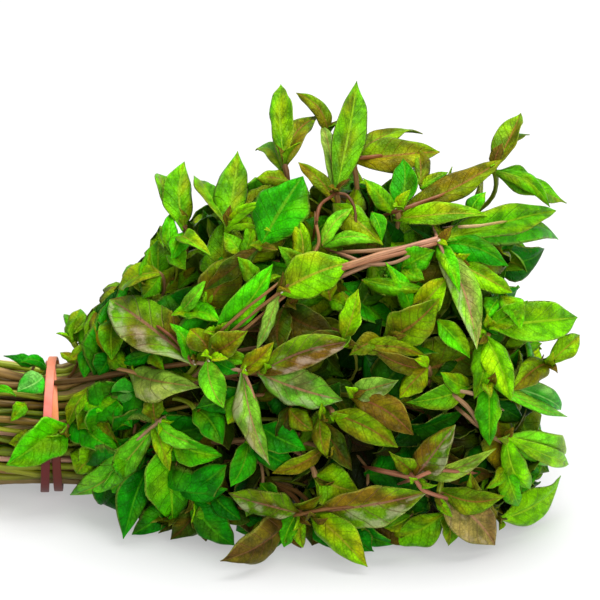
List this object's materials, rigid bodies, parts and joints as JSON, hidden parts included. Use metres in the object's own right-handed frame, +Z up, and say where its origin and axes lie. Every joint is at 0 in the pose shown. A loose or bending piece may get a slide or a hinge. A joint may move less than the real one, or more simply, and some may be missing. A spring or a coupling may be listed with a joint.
{
  "type": "bunch of sessile joyweed",
  "caption": "Bunch of cut leafy herb stems lying on its side, tied near the cut ends with a doubled rubber band; the leafy head fans out from the tie.",
  "frame": {"origin": "middle of the bunch's box, on the surface it lies on", "axes": "+X along the bunch from the cut stem ends to the leafy head, +Z up, +Y to the back"},
  "size_m": [0.3042, 0.1962, 0.1794],
  "materials": {
    "leafy_stem": "satin living leaf, green to bronze, on red-brown stalks",
    "rubber": "satin, salmon pink to amber"
  },
  "bodies": {
    "root": {"leafy_stem_01": "leafy_stem", "leafy_stem_02": "leafy_stem", "leafy_stem_03": "leafy_stem", "leafy_stem_04": "leafy_stem", "leafy_stem_05": "leafy_stem", "leafy_stem_06": "leafy_stem", "leafy_stem_07": "leafy_stem", "leafy_stem_08": "leafy_stem", "leafy_stem_09": "leafy_stem", "leafy_stem_10": "leafy_stem", "leafy_stem_11": "leafy_stem", "leafy_stem_12": "leafy_stem", "leafy_stem_13": "leafy_stem", "leafy_stem_14": "leafy_stem", "leafy_stem_15": "leafy_stem", "leafy_stem_16": "leafy_stem", "leafy_stem_17": "leafy_stem", "leafy_stem_18": "leafy_stem", "leafy_stem_19": "leafy_stem", "leafy_stem_20": "leafy_stem", "leafy_stem_21": "leafy_stem", "leafy_stem_22": "leafy_stem", "leafy_stem_23": "leafy_stem", "leafy_stem_24": "leafy_stem", "leafy_stem_25": "leafy_stem", "leafy_stem_26": "leafy_stem", "leafy_stem_27": "leafy_stem", "leafy_stem_28": "leafy_stem", "leafy_stem_29": "leafy_stem", "leafy_stem_30": "leafy_stem", "leafy_stem_31": "leafy_stem", "leafy_stem_32": "leafy_stem", "leafy_stem_33": "leafy_stem", "leafy_stem_34": "leafy_stem", "leafy_stem_35": "leafy_stem", "leafy_stem_36": "leafy_stem", "leafy_stem_37": "leafy_stem", "leafy_stem_38": "leafy_stem", "leafy_stem_39": "leafy_stem", "leafy_stem_40": "leafy_stem", "leafy_stem_41": "leafy_stem", "leafy_stem_42": "leafy_stem", "leafy_stem_43": "leafy_stem", "leafy_stem_44": "leafy_stem", "leafy_stem_45": "leafy_stem", "leafy_stem_46": "leafy_stem", "rubber_band": "rubber"}
  },
  "joints": []
}
